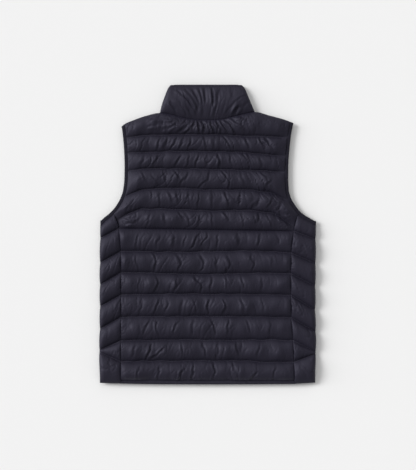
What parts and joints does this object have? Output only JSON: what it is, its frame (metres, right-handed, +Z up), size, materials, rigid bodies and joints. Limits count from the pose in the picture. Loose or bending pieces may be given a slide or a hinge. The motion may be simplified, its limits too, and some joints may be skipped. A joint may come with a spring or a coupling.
{
  "type": "quilted padded vest",
  "caption": "Sleeveless padded jacket with a stand collar and zipped front, quilted in horizontal channels, laid flat face down so that its back shows",
  "frame": {"origin": "on the surface that the vest lies on, below the middle of its bounding box", "axes": "+X to the wearer's right as the vest lies on its front, +Y from the hem to the collar, +Z up out of the back"},
  "size_m": [0.5432, 0.75, 0.027],
  "materials": {
    "shell": "thin woven nylon with a soft satin sheen, dark navy",
    "binding": "matt stretch binding, near black",
    "zip_tape": "matt woven tape, near black",
    "zip_coil": "moulded and coiled nylon, near black",
    "metal": "dark lacquered zinc"
  },
  "bodies": {
    "vest": {"back_panel": "shell", "back_yoke": "shell", "side_panel_left": "shell", "side_panel_right": "shell", "front_left": "shell", "front_right": "shell", "collar": "shell", "armhole_binding_left": "binding", "armhole_binding_right": "binding", "zip_tape_left": "zip_tape", "zip_tape_right": "zip_tape", "zip_chain": "zip_coil", "zip_box": "zip_coil", "zip_slider": "metal"},
    "pull_tab": {"zip_pull": "metal"}
  },
  "joints": [
    {"name": "pull_tab_swing", "type": "hinge", "parent": "vest", "child": "pull_tab", "pos_m": [0, 0.333, 0.00335], "axis": [1, 0, 0], "range_deg": [-6, 170]}
  ]
}
